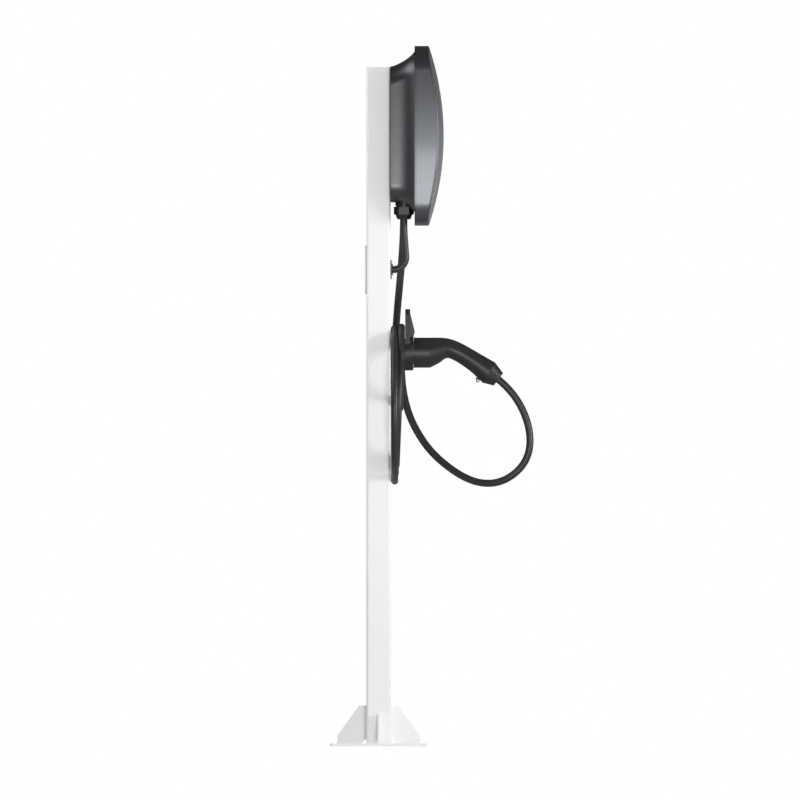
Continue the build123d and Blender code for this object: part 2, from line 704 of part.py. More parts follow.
def front_cover():
    """Hollow crowned cover with a lip for the seal, screw bosses and a pocket for the front panel."""
    outer = crowned(cover_outline(0), 0, SEAM_Y)
    rim = outer.edges().filter_by(lambda edge: edge.center().Y < SEAM_Y - 2 * COVER_EDGE)
    outer = fillet(rim, COVER_EDGE)
    inner = crowned(cover_outline(COVER_WALL), COVER_FRONT, SEAM_Y)
    lip = cover_outline(COVER_WALL) - cover_outline(SEAL_INSET + SEAL_WIDTH + PAST)
    shell = outer - inner + plate_y(lip, SEAM_Y, COVER_LIP)
    for x, z in cover_screw_places():
        shell += plate_y(Pos(x, z) * Circle(COVER_BOSS_R), SEAM_Y, COVER_BOSS) & outer
    pocket = plate_y(cover_outline(PANEL_INSET - PANEL_GAP), SEAM_Y - PANEL_BLANK, FRONT - FACE_Y)
    shell -= pocket & (crown_ring(-2 * PAST) - crown_ring(PANEL_THICK))
    shell -= light_slot(SEAM_Y - SLOT_BLANK)
    for x, z in cover_screw_places():
        shell -= rod_y(COVER_SCREW_R, SEAM_Y + PAST, SEAM_Y - COVER_SCREW_GRIP - 2 * PAST, x, z)
    return shell


def front_panel():
    blank = plate_y(cover_outline(PANEL_INSET), SEAM_Y - PANEL_BLANK, FRONT - FACE_Y)
    panel = blank & (crown_ring(0) - crown_ring(PANEL_THICK))
    return panel - light_slot(SEAM_Y - SLOT_BLANK)


def status_light():
    """Light pipe that fills the slot from the light board to the face."""
    return light_slot(LIGHT_BOARD_Y) & crown_ring(0)


def bracket_screw_places():
    return four(BRACKET_PITCH_X, BRACKET_PITCH_Z, z=CHARGER_Z)


def wall_bracket():
    """Steel plate between the post and the housing, with four screw holes and a lightening window."""
    outline = RectangleRounded(BRACKET_X, BRACKET_Z, BRACKET_CORNER)
    outline -= RectangleRounded(BRACKET_WINDOW_X, BRACKET_WINDOW_Z, 1.5 * BRACKET_CORNER)
    plate = Pos(0, 0, CHARGER_Z) * plate_y(outline, FRONT, BRACKET_THICK)
    for x, z in bracket_screw_places():
        plate -= rod_y(BRACKET_SCREW_R, FRONT + PAST, FRONT - BRACKET_THICK - PAST, x, z)
    return plate


def bracket_screw(x, z):
    """Low button head screw through the bracket and the post's wall."""
    face = FRONT - BRACKET_THICK
    shank = rod_y(BRACKET_SCREW_R, face, INNER_FRONT + THREAD_PAST, x, z)
    return shank + rod_y(BRACKET_HEAD_R, face, face - BRACKET_HEAD, x, z)


# ------------------------------------------------------------------ charger electronics
def standoff_places():
    return four(BOARD_X - 2 * STANDOFF_EDGE, BOARD_Z - 2 * STANDOFF_EDGE, z=BOARD_CENTRE_Z)


def standoff(x, z):
    pillar = rod_y(STANDOFF_R, CAVITY_BACK_Y, BOARD_Y, x, z)
    return pillar + rod_y(STANDOFF_STUD_R, BOARD_Y, BOARD_FRONT_Y - STANDOFF_STUD, x, z)


def main_board():
    outline = RectangleRounded(BOARD_X, BOARD_Z, BOARD_CORNER)
    board = Pos(0, 0, BOARD_CENTRE_Z) * plate_y(outline, BOARD_Y, BOARD_THICK)
    for x, z in standoff_places():
        board -= rod_y(STANDOFF_STUD_R, BOARD_Y + PAST, BOARD_FRONT_Y - PAST, x, z)
    return board


def on_board(x, z, size):
    """Component body of a width, height and depth that stands on the main board."""
    width, height, depth = size
    y1 = BOARD_FRONT_Y - depth
    return block(x - width / 2, x + width / 2, BOARD_FRONT_Y, y1, z - height / 2, z + height / 2)


def power_relay(side):
    can = on_board(side * RELAY_X, BOARD_CENTRE_Z + RELAY_RISE, RELAY_SIZE)
    return fillet(can.edges().filter_by(Axis.Y), RELAY_CORNER)


def current_sensor():
    z, y1 = BOARD_CENTRE_Z + SENSOR_RISE, BOARD_FRONT_Y - SENSOR_DEPTH
    ring = rod_y(SENSOR_R, BOARD_FRONT_Y, y1, 0, z)
    return ring - rod_y(SENSOR_BORE_R, BOARD_FRONT_Y + PAST, y1 - PAST, 0, z)


def terminal_strip(x):
    """Three-pole screw terminal over a gland."""
    strip = on_board(x, STRIP_Z, STRIP_SIZE)
    face = BOARD_FRONT_Y - STRIP_SIZE[2]
    for pole in STRIP_POLES:
        well = face + STRIP_WELL_DEPTH
        strip -= rod_y(STRIP_WELL_R, well, face - PAST, x + pole * STRIP_PITCH, STRIP_Z)
    return strip


def wiring_to(x):
    """Three cores from a cable's end up to its terminal strip."""
    cores = []
    z1 = STRIP_Z - STRIP_SIZE[1] / 2 - CORE_GAP
    for pole in STRIP_POLES:
        start = (x + pole * CORE_PITCH, GLAND_Y, CABLE_END_Z)
        knee = (x + pole * CORE_PITCH, GLAND_Y, CABLE_END_Z + CORE_KNEE)
        end = (x + pole * CORE_SPREAD, BOARD_FRONT_Y - CORE_DEPTH, z1)
        cores.append(swept(FilletPolyline(start, knee, end, radius=CORE_BEND_R), CORE_D))
    return cores


def power_supply():
    x, rise = SUPPLY_UNIT_PLACE
    unit = on_board(x, BOARD_CENTRE_Z + rise, SUPPLY_UNIT_SIZE)
    return fillet(unit.edges().filter_by(Axis.Y), SUPPLY_UNIT_CORNER)


def capacitor(x):
    end = BOARD_FRONT_Y - CAPACITOR_LENGTH
    return rod_y(CAPACITOR_R, BOARD_FRONT_Y, end, x, BOARD_CENTRE_Z + CAPACITOR_RISE)


def antenna_board():
    """Square board behind the panel, with a round hole."""
    outline = RectangleRounded(ANTENNA_SIDE, ANTENNA_SIDE, ANTENNA_CORNER) - Circle(ANTENNA_HOLE_R)
    return Pos(0, 0, CHARGER_Z - ANTENNA_DROP) * plate_y(outline, FACE_Y + ANTENNA_DEPTH, BOARD_THICK)


def light_board():
    outline = Rectangle(2 * LIGHT_BOARD_HALF_X, 2 * LIGHT_BOARD_HALF_Z)
    return Pos(0, 0, CHARGER_Z + LIGHT_RISE) * plate_y(outline, LIGHT_BOARD_Y + BOARD_THICK, BOARD_THICK)


# ------------------------------------------------------------------ glands
def gland_body(x):
    """Threaded sleeve through the housing's floor, with a sealing collar outside."""
    sleeve = rod_z(GLAND_THREAD_R, NUT_BOTTOM + GLAND_GRIP, CABLE_END_Z - SLEEVE_STUB, x, GLAND_Y)
    sleeve += rod_z(GLAND_COLLAR_R, NUT_TOP + GLAND_NECK, BODY_BOTTOM, x, GLAND_Y)
    return sleeve - rod_z(GLAND_BORE_R, GLAND_BOTTOM, CABLE_END_Z, x, GLAND_Y)


def gland_nut(x, cable_d):
    """Hexagonal dome nut: flats above, a tapering dome below, a bore for the cable."""
    nut = hexagon_z(GLAND_AF, NUT_BOTTOM, NUT_TOP, x, GLAND_Y)
    dome = Cone(GLAND_DOME_R, GLAND_AF / 2 - GLAND_DOME_STEP, GLAND_DOME)
    nut += Pos(x, GLAND_Y, (NUT_BOTTOM + GLAND_BOTTOM) / 2) * dome
    nut -= rod_z(GLAND_THREAD_R, NUT_BOTTOM + GLAND_GRIP, NUT_TOP + PAST, x, GLAND_Y)
    nut -= rod_z(GLAND_SEAL_R, GLAND_BOTTOM + GLAND_LIP, NUT_BOTTOM + GLAND_GRIP + PAST, x, GLAND_Y)
    mouth_top = GLAND_BOTTOM + GLAND_LIP + PAST
    return nut - rod_z(cable_d / 2 + CABLE_ROOM, GLAND_BOTTOM - PAST, mouth_top, x, GLAND_Y)


def gland_seal(x, cable_d):
    seal = rod_z(GLAND_SEAL_R, GLAND_BOTTOM + GLAND_LIP, NUT_BOTTOM + GLAND_GRIP, x, GLAND_Y)
    return seal - rod_z(cable_d / 2 + CABLE_SLIP, GLAND_BOTTOM, NUT_TOP, x, GLAND_Y)


def gland_locknut(x):
    nut = hexagon_z(GLAND_AF, BODY_FLOOR, BODY_FLOOR + LOCKNUT, x, GLAND_Y, turn=0)
    return nut - rod_z(GLAND_THREAD_R, BODY_FLOOR - PAST, BODY_FLOOR + LOCKNUT + PAST, x, GLAND_Y)


# ------------------------------------------------------------------ holster
def holster_screw_places():
    turns = [math.radians(90 + 360 * k / HOLSTER_SCREWS) for k in range(HOLSTER_SCREWS)]
    radius = HOLSTER_SCREW_CIRCLE
    return [(radius * math.cos(t), HOLSTER_Z + radius * math.sin(t)) for t in turns]


def holster_hub():
    """Drum that the cable is hung on, closed at the post."""
    hub = rod_y(HUB_R, FRONT, HUB_Y, 0, HOLSTER_Z)
    hub -= rod_y(SOCKET_R, FRONT - HUB_FLOOR, HUB_Y - PAST, 0, HOLSTER_Z)
    for x, z in holster_screw_places():
        hub -= rod_y(HOLSTER_SCREW_R, FRONT + PAST, FRONT - HUB_FLOOR - PAST, x, z)
    return hub


def holster_screw(x, z):
    face = FRONT - HUB_FLOOR
    shank = rod_y(HOLSTER_SCREW_R, face, INNER_FRONT + THREAD_PAST, x, z)
    return shank + rod_y(HOLSTER_HEAD_R, face, face - HOLSTER_HEAD, x, z)


def holster_tongue():
    """Upright flange over the cup that keeps the cable on the hub, with rounded upper corners."""
    foot, top = CUP_R - FLANGE_WAIST, HOLSTER_Z + FLANGE_RISE
    corners = [(-foot, HOLSTER_Z), (-FLANGE_TOP_HALF, top), (FLANGE_TOP_HALF, top), (foot, HOLSTER_Z)]
    outline = make_face(Polyline(*corners, close=True))
    outline = fillet(outline.vertices().group_by(Axis.Y)[-1], TONGUE_CORNER)
    return plate_y(outline, HUB_Y, FLANGE_DEPTH)


def holster_catch():
    """Wedge between the flange's face and the cup's front edge that the connector hangs under."""
    face = HUB_Y - FLANGE_DEPTH
    corners = [
        (face, HOLSTER_Z + FLANGE_RISE - CATCH_DROP),
        (CUP_Y - CATCH_LIP, HOLSTER_Z + CUP_R + CATCH_HEAD),
        (CUP_Y, HOLSTER_Z + CUP_R - CATCH_CHIN),
        (face, HOLSTER_Z + CUP_R - CATCH_ROOT),
    ]
    return profile_x(corners, -CATCH_HALF, CATCH_HALF)


def holster_cup():
    """Cup ring for the connector's nose, with the flange, the catch and a skirt under the hub."""
    face = HUB_Y - FLANGE_DEPTH
    cup = holster_tongue() + rod_y(CUP_R, HUB_Y, face, 0, HOLSTER_Z)
    cup += rod_y(CUP_R, face, CUP_Y + CUP_BEVEL, 0, HOLSTER_Z)
    bevel = Rot(90, 0, 0) * Cone(CUP_R, CUP_R - CUP_BEVEL, CUP_BEVEL)
    cup += Pos(0, CUP_Y + CUP_BEVEL / 2, HOLSTER_Z) * bevel
    lower = Pos(0, HOLSTER_Z - 2 * CUP_R) * Rectangle(4 * CUP_R, 4 * CUP_R)
    skirt = (Pos(0, HOLSTER_Z) * (Circle(CUP_R) - Circle(HUB_R))) & lower
    cup += plate_y(skirt, HUB_Y + SKIRT_DEPTH, SKIRT_DEPTH)
    cup += holster_catch()
    return cup - rod_y(SOCKET_R, HUB_Y + PAST, CUP_Y - CATCH_LIP - PAST, 0, HOLSTER_Z)


# ------------------------------------------------------------------ connector
def across(section, shrink):
    """Elliptical section of the handle, square to its axis."""
    y, z, slope, half_x, half_z = section
    a = math.radians(slope)
    plane = Plane(origin=(0, y, z), x_dir=(1, 0, 0), z_dir=(0, -math.cos(a), -math.sin(a)))
    return plane * Ellipse(half_x - shrink, half_z - shrink)


def between(t, a, b, c, d):
    """Catmull-Rom curve from b to c, whose neighbours are a and d."""
    square = 2 * a - 5 * b + 4 * c - d
    return b + 0.5 * ((c - a) * t + square * t**2 + (3 * b - 3 * c + d - a) * t**3)


def handle_stations():
    """Handle sections with more between them: the barrel stays a cylinder, the rest follows smooth curves."""
    bend = HANDLE[1:]
    padded = [bend[0], *bend, bend[-1]]
    stations = [HANDLE[0]]
    for a, b, c, d in zip(padded, padded[1:], padded[2:], padded[3:]):
        for k in range(HANDLE_STEPS):
            stations.append([between(k / HANDLE_STEPS, *values) for values in zip(a, b, c, d)])
    return stations + [HANDLE[-1]]


def handle_solid(shrink):
    return loft([across(station, shrink) for station in handle_stations()], ruled=True)


def along_handle(section, distance):
    """Point on a section's axis, a distance further out."""
    y, z, slope = section[:3]
    a = math.radians(slope)
    return (0, y - distance * math.cos(a), z - distance * math.sin(a))


def rod_from(start, end, radius):
    """Cylinder between two points."""
    return swept(Line(start, end), 2 * radius)


def handle_shell(side):
    """Half of the handle, split at the middle plane, closed at both ends round the contacts and the cable."""
    shell = handle_solid(0) - handle_solid(SHELL_WALL)
    shell += rod_y(BARREL_R - PAST, SHELL_Y, SHELL_Y - SHELL_END, 0, HOLSTER_Z)
    shell += extrude(across(HANDLE[-1], PAST), -SHELL_END)
    shell -= rod_y(NOSE_R - NOSE_WALL, SHELL_Y + PAST, SHELL_Y - SHELL_END - PAST, 0, HOLSTER_Z)
    outside, inside = along_handle(HANDLE[-1], 3 * PAST), along_handle(HANDLE[-1], -2 * SHELL_END)
    shell -= rod_from(outside, inside, CABLE_R + MOUTH_ROOM)
    reach = 2 * BARREL_R
    low, high = HOLSTER_Z - 2 * EYELET_DROP, HOLSTER_Z + reach
    return shell & block(0, side * reach, SHELL_Y + PAST, CAP_END[0] - PAST, low, high)


def connector_collar():
    collar = rod_y(BARREL_R + COLLAR_RISE, CUP_Y - FIT, SHELL_Y, 0, HOLSTER_Z)
    return collar - rod_y(NOSE_R, CUP_Y + PAST, SHELL_Y - PAST, 0, HOLSTER_Z)


def connector_nose():
    """Guard sleeve round the contacts, flattened at the top, with its foot inside the collar."""
    sleeve = rod_y(NOSE_R, NOSE_TIP_Y, SHELL_Y, 0, HOLSTER_Z)
    sleeve -= rod_y(NOSE_R - NOSE_WALL, NOSE_TIP_Y + PAST, SHELL_Y - PAST, 0, HOLSTER_Z)
    flat = HOLSTER_Z + NOSE_R - NOSE_FLAT + NOSE_WALL
    end = NOSE_TIP_Y - NOSE_FLAT_LENGTH
    return sleeve - block(-NOSE_R, NOSE_R, NOSE_TIP_Y + PAST, end, flat, HOLSTER_Z + 2 * NOSE_R)


def contact_insulator():
    tip = NOSE_TIP_Y - INSULATOR_RECESS
    core = rod_y(NOSE_R - NOSE_WALL - FIT, tip, SHELL_Y, 0, HOLSTER_Z)
    flat = HOLSTER_Z + INSULATOR_FLAT
    core -= block(-NOSE_R, NOSE_R, tip + PAST, SHELL_Y - PAST, flat, HOLSTER_Z + 2 * NOSE_R)
    for x, rise, radius in CONTACTS:
        core -= rod_y(radius + CONTACT_WALL, tip + PAST, SHELL_Y - PAST, x, HOLSTER_Z + rise)
    return core


def contact_sleeve(x, rise, radius):
    """Blind sleeve that takes one contact pin."""
    tip = NOSE_TIP_Y - INSULATOR_RECESS - CONTACT_RECESS
    sleeve = rod_y(radius + CONTACT_WALL, tip, SHELL_Y, x, HOLSTER_Z + rise)
    return sleeve - rod_y(radius, tip + PAST, (tip + 2 * SHELL_Y) / 3, x, HOLSTER_Z + rise)


def connector_end_cap():
    """Tapered cap that clamps the cable in the handle's end."""
    cap = loft([across(HANDLE[-1], CAP_SEAT), across(CAP_END, 0)], ruled=True)
    outside, inside = along_handle(CAP_END, 3 * PAST), along_handle(CAP_END, -CAP_BORE_DEPTH)
    return cap - rod_from(outside, inside, CABLE_R)


def side_pad(side):
    """Thin raised grip panel on the barrel's side."""
    end = SHELL_Y - PAD_START - PAD_LENGTH
    pad = rod_y(BARREL_R + PAD_RISE, SHELL_Y - PAD_START, end, 0, HOLSTER_Z)
    pad -= rod_y(BARREL_R, SHELL_Y, end - PAST, 0, HOLSTER_Z)
    low, high = HOLSTER_Z + PAD_LOW, HOLSTER_Z + PAD_HIGH
    return pad & block(side * PAD_SIDE, side * 2 * BARREL_R, SHELL_Y, end - PAST, low, high)


def strap_eyelet():
    """Lug under the handle for a hanging strap."""
    y, z, half = SHELL_Y - EYELET_OUT, HOLSTER_Z - EYELET_DROP, EYELET_HALF_X
    lug = rod_x(EYELET_R, -half, half, y, z)
    lug += block(-half, half, y - EYELET_R, y + EYELET_R, z, z + EYELET_STEM)
    return lug - rod_x(EYELET_HOLE_R, -half - PAST, half + PAST, y, z) - handle_solid(0)


# ------------------------------------------------------------------ cables
def swept(path, diameter):
    """Round tube along a path."""
    start = Plane(origin=path @ 0, z_dir=path % 0)
    return sweep(start * Circle(diameter / 2), path=path)


def bend_radii(points):
    """Largest tangent arc at each corner: 0.45 of the shorter run over the tangent of half the turn."""
    radii = []
    for before, corner, after in zip(points, points[1:], points[2:]):
        a, b = Vector(*corner) - Vector(*before), Vector(*after) - Vector(*corner)
        half_turn = math.radians(a.get_angle(b)) / 2
        radii.append(0.45 * min(a.length, b.length) / math.tan(half_turn))
    return radii


def cord(name, points, diameter, radii=None):
    """Cord tube of straight runs joined by tangent arcs; prints its radii and its volume test."""
    radii = radii or bend_radii(points)
    path = FilletPolyline(*points, radius=radii)
    tube = swept(path, diameter)
    ideal = math.pi * diameter**2 / 4 * path.length
    shortest = min(radii) / diameter
    print(name, "length %.0f" % path.length, "volume/ideal %.4f" % (tube.volume / ideal))
    print("  radii", [round(r) for r in radii], "smallest %.1f diameters" % shortest)
    return tube


# Supply lead: from the charger's terminals, down through its gland and back into the post.
SUPPLY_ROUTE = [
    (ENTRY_X, GLAND_Y, CABLE_END_Z),
    (ENTRY_X, GLAND_Y, 1064.0),
    (ENTRY_X, FRONT - 33.0, ENTRY_Z),
    (ENTRY_X, SUPPLY_END_Y, ENTRY_Z),
]
SUPPLY_RADII = [330.0, 25.5]

# Where the charging cable drops from its gland to the coil.
DROP_ROUTE = [
    (GLAND_SPREAD, GLAND_Y, CABLE_END_Z),
    (GLAND_SPREAD, GLAND_Y, 1062.0),
    (GLAND_SPREAD + 14, GLAND_Y + 6.5, 974.0),
    (92.0, GLAND_Y + 15.5, 880.0),
    (128.0, GLAND_Y + 20.0, 786.0),
]

# Where it leaves the coil, hangs in a loop and comes up to the connector.
LOOP_ROUTE = [
    (82.0, -45.0, 828.0),
    (92.0, -46.5, 774.0),
    (88.0, -51.5, 720.0),
    (74.0, -71.0, 660.0),
    (52.0, -114.0, 597.0),
    (24.0, -190.0, 543.0),
    (6.0, -256.0, 541.0),
    (1.0, -310.0, 588.0),
    (0.0, -314.0, 658.0),
    along_handle(CAP_END, 38.0),
    along_handle(CAP_END, -CAP_BORE_DEPTH),
]


def hanging_ring(half_x, bottom, layers, y0, depth):
    """Outer shape of hanging turns: a tall elliptical ring whose opening rests on the hub."""
    top, thick = HUB_TOP + TOP_LAYERS * CABLE_D, layers * CABLE_D
    high, low = half_x + CABLE_R, bottom - CABLE_R
    outer = Pos(0, (top + low) / 2) * Ellipse(high, (top - low) / 2)
    roof, floor = HUB_TOP + COIL_GAP, low + thick
    hole = Pos(0, (roof + floor) / 2) * Ellipse(high - thick, (roof - floor) / 2)
    return plate_y(outer - hole, y0, depth)


def coil_big():
    """Three nested big turns, beside the post's face."""
    return hanging_ring(BIG_HALF_X, BIG_BOTTOM, BIG_LAYERS, FRONT - COIL_GAP, CABLE_D)


def coil_small():
    """The small last turn, with the tops that lie against the flange."""
    depth = HUB_DEPTH - CABLE_D - 2 * COIL_GAP
    return hanging_ring(SMALL_HALF_X, SMALL_BOTTOM, 1, FRONT - COIL_GAP - CABLE_D, depth)


# ------------------------------------------------------------------ assembly
def add_post():
    NODES["base_plate"] = base_plate()
    for name, turn, height, reach in (
        ("gusset_front", -90, TALL_GUSSET, POST_Y / 2),
        ("gusset_rear", 90, TALL_GUSSET, POST_Y / 2),
        ("gusset_left", 180, LOW_GUSSET, POST_X / 2),
        ("gusset_right", 0, LOW_GUSSET, POST_X / 2),
    ):
        NODES[name] = Rot(0, 0, turn) * gusset(height, reach)
    NODES["post_tube"] = post_tube()
    NODES["top_cap"] = top_cap()
    NODES["service_gasket"] = service_gasket()
    NODES["service_cover"] = service_cover()
    NODES["service_screws"] = join(service_screws())
    NODES["cable_entry_plate"] = entry_plate()
    NODES["entry_screws"] = join(entry_screws())
    NODES["entry_grommet"] = entry_grommet()
    NODES["din_rail"] = din_rail()
    NODES["rail_screws"] = join(rail_screws())
    NODES["post_terminals"] = join(post_terminal(k) for k in range(POST_TERMINALS))
    NODES["post_cores"] = join(supply_core(k) for k in range(SUPPLY_CORES))
    NODES["earth_stud"] = join(earth_stud())


def add_charger():
    NODES["wall_bracket"] = wall_bracket()
    NODES["bracket_screws"] = join(bracket_screw(x, z) for x, z in bracket_screw_places())
    NODES["rear_housing"] = rear_housing()
    NODES["housing_seal"] = plate_y(seal_outline(), SEAM_Y + SEAL_DEPTH, SEAL_DEPTH)
    NODES["front_cover"] = front_cover()
    NODES["front_panel"] = front_panel()
    NODES["status_light"] = status_light()
    NODES["cover_screws"] = join(cover_screws())
    NODES["board_standoffs"] = join(standoff(x, z) for x, z in standoff_places())
    NODES["main_board"] = main_board()
    NODES["power_relays"] = join(power_relay(side) for side in (-1, 1))
    NODES["current_sensor"] = current_sensor()
    NODES["charger_terminals"] = join(terminal_strip(x) for x in GLAND_XS)
    NODES["charger_wiring"] = join(core for x in GLAND_XS for core in wiring_to(x))
    NODES["power_supply"] = power_supply()
    NODES["capacitors"] = join(capacitor(x) for x in CAPACITOR_XS)
    NODES["antenna_board"] = antenna_board()
    NODES["light_board"] = light_board()


def add_glands():
    for name, x, diameter in (("supply", -GLAND_SPREAD, SUPPLY_D), ("charging", GLAND_SPREAD, CABLE_D)):
        NODES[name + "_gland_body"] = gland_body(x)
        NODES[name + "_gland_nut"] = gland_nut(x, diameter)
        NODES[name + "_gland_seal"] = gland_seal(x, diameter)
    NODES["gland_locknuts"] = join(gland_locknut(x) for x in GLAND_XS)


def add_holster():
    NODES["holster_hub"] = holster_hub()
    NODES["holster_cup"] = holster_cup()
    NODES["holster_screws"] = join(holster_screw(x, z) for x, z in holster_screw_places())


def add_connector():
    NODES["connector_collar"] = connector_collar()
    NODES["connector_nose"] = connector_nose()
    NODES["contact_insulator"] = contact_insulator()
    NODES["contact_sleeves"] = join(contact_sleeve(*contact) for contact in CONTACTS)
    NODES["handle_shell_left"] = handle_shell(-1)
    NODES["handle_shell_right"] = handle_shell(1)
    NODES["connector_end_cap"] = connector_end_cap()
    NODES["connector_side_pads"] = join(side_pad(side) for side in (-1, 1))
    NODES["strap_eyelet"] = strap_eyelet()


def add_cables():
    NODES["supply_lead"] = cord("supply_lead", SUPPLY_ROUTE, SUPPLY_D, SUPPLY_RADII)
    NODES["charging_cable_drop"] = cord("charging_cable_drop", DROP_ROUTE, CABLE_D)
    NODES["charging_cable_coil_big"] = coil_big()
    NODES["charging_cable_coil_small"] = coil_small()
    NODES["charging_cable_loop"] = cord("charging_cable_loop", LOOP_ROUTE, CABLE_D)


add_post()
add_charger()
add_glands()
add_holster()
add_connector()
add_cables()
os.makedirs("parts", exist_ok=True)
for node, shape in NODES.items():
    export_step(shape, os.path.join("parts", node + ".step"))
print(len(NODES), "nodes")
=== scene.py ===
import json
import math

import bpy
import numpy as np
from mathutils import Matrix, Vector


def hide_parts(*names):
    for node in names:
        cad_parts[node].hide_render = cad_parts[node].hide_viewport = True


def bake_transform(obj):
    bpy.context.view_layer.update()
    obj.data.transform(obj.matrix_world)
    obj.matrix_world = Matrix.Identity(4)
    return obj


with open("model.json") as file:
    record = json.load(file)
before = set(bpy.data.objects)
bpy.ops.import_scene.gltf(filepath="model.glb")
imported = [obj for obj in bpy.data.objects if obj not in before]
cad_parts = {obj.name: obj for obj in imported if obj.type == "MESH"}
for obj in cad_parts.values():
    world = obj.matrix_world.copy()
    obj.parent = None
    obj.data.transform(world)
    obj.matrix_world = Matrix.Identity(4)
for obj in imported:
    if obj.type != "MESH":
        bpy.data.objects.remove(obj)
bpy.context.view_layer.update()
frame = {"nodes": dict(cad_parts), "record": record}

# An EV charging post. Everything is in metres, +Z up, the charger faces -Y, and the camera looks along +X.

MM = 0.001


# ------------------------------------------------------------------ camera, floor and light
def add_camera():
    """Long level side view: the whole post just fills the frame, seen from -X."""
    view_height = 1.6488
    data = bpy.data.cameras.new("side_camera")
    data.type = "ORTHO"
    data.ortho_scale = view_height
    data.clip_end = 60.0
    camera = bpy.data.objects.new("side_camera", data)
    camera.location = (-6.0, -0.0443, 0.7137)
    camera.rotation_euler = (math.pi / 2, 0.0, -math.pi / 2)
    bpy.context.scene.collection.objects.link(camera)
    bpy.context.scene.camera = camera


def add_floor():
    """Plain pale floor disc just under the base plate."""
    radius, edge_count, drop = 7.0, 96, 0.0006
    turn = np.linspace(0, 2 * math.pi, edge_count, endpoint=False)
    rim = np.stack([radius * np.cos(turn), radius * np.sin(turn), np.full(edge_count, -drop)], axis=1)
    mesh = bpy.data.meshes.new("studio_floor")
    mesh.from_pydata(rim.tolist(), [], [tuple(range(edge_count))])
    floor = bpy.data.objects.new("studio_floor", mesh)
    bpy.context.scene.collection.objects.link(floor)
    paint = bpy.data.materials.new("studio_floor")
    paint.use_nodes = True
    shader = paint.node_tree.nodes["Principled BSDF"]
    shader.inputs["Base Color"].default_value = (0.58, 0.58, 0.58, 1)
    shader.inputs["Roughness"].default_value = 0.75
    mesh.materials.append(paint)


def add_world():
    """Studio surround: white to the camera, soft for diffuse light, and banded by height for reflections."""
    world = bpy.data.worlds.new("studio")
    bpy.context.scene.world = world
    world.use_nodes = True
    tree = world.node_tree
    soft = tree.nodes["Background"]
    soft.inputs["Color"].default_value = (1, 1, 1, 1)
    soft.inputs["Strength"].default_value = 0.44

    direction = tree.nodes.new("ShaderNodeTexCoord")
    split = tree.nodes.new("ShaderNodeSeparateXYZ")
    tree.links.new(direction.outputs["Generated"], split.inputs[0])
    height = tree.nodes.new("ShaderNodeMapRange")
    height.inputs["From Min"].default_value = -1.0
    tree.links.new(split.outputs["Z"], height.inputs["Value"])
    ramp = tree.nodes.new("ShaderNodeValToRGB")
    bands = [(0.0, 0.05), (0.30, 0.06), (0.43, 0.25), (0.48, 0.30), (0.52, 0.12), (0.6, 0.05), (0.9, 0.08)]
    ramp.color_ramp.elements.remove(ramp.color_ramp.elements[1])
    for place, level in bands:
        stop = ramp.color_ramp.elements.new(place) if place else ramp.color_ramp.elements[0]
        stop.position = place
        stop.color = (level, level, 1.03 * level, 1)
    tree.links.new(height.outputs["Result"], ramp.inputs["Fac"])
    banded = tree.nodes.new("ShaderNodeBackground")
    tree.links.new(ramp.outputs["Color"], banded.inputs["Color"])

    white = tree.nodes.new("ShaderNodeBackground")
    white.inputs["Color"].default_value = (1, 1, 1, 1)
    path = tree.nodes.new("ShaderNodeLightPath")
    shiny = tree.nodes.new("ShaderNodeMixShader")
    tree.links.new(path.outputs["Is Glossy Ray"], shiny.inputs["Fac"])
    tree.links.new(soft.outputs[0], shiny.inputs[1])
    tree.links.new(banded.outputs[0], shiny.inputs[2])
    mix = tree.nodes.new("ShaderNodeMixShader")
    tree.links.new(path.outputs["Is Camera Ray"], mix.inputs["Fac"])
    tree.links.new(shiny.outputs[0], mix.inputs[1])
    tree.links.new(white.outputs[0], mix.inputs[2])
    tree.links.new(mix.outputs[0], tree.nodes["World Output"].inputs["Surface"])


def add_softbox(name, place, target, width, height, watts, spread=180):
    """Area light that faces a target point, with its spread in degrees."""
    data = bpy.data.lights.new(name, "AREA")
    data.shape = "RECTANGLE"
    data.size, data.size_y, data.energy = width, height, watts
    data.spread = math.radians(spread)
    lamp = bpy.data.objects.new(name, data)
    lamp.location = place
    aim = Vector(target) - Vector(place)
    lamp.rotation_euler = aim.to_track_quat("-Z", "Y").to_euler()
    bpy.context.scene.collection.objects.link(lamp)


def add_lights():
    """A low upright strip on the camera's side for round parts, a front box, and one above and behind."""
    add_softbox("strip", (-3.4, -0.3, 0.5), (0, -0.1, 0.5), 0.6, 1.2, 40)
    add_softbox("front", (-1.4, -3.2, 1.1), (0, 0, 0.95), 1.2, 1.2, 9, spread=60)
    add_softbox("above", (-0.4, 1.5, 2.3), (0, -0.05, 1.38), 1.9, 1.6, 6, spread=80)


add_camera()
add_floor()
add_world()
add_lights()
bpy.context.scene.view_settings.view_transform = "Standard"


# ------------------------------------------------------------------ meshes from numpy grids
def mesh_object(name, points, faces, material):
    """New smooth object at the origin from points and faces."""
    mesh = bpy.data.meshes.new(name)
    mesh.from_pydata(np.asarray(points, float).tolist(), [], [tuple(int(i) for i in f) for f in faces])
    mesh.update()
    mesh.polygons.foreach_set("use_smooth", np.ones(len(mesh.polygons), bool))
    obj = bpy.data.objects.new(name, mesh)
    bpy.context.scene.collection.objects.link(obj)
    mesh.materials.append(material)
    return obj


def grid_faces(rows, columns):
    """Quads of a grid of rows by columns, closed round the columns."""
    low = np.arange(rows - 1)[:, None] * columns
    high = low + columns
    c = np.arange(columns)[None, :]
    n = (c + 1) % columns
    return np.stack([low + c, low + n, high + n, high + c], axis=-1).reshape(-1, 4).tolist()


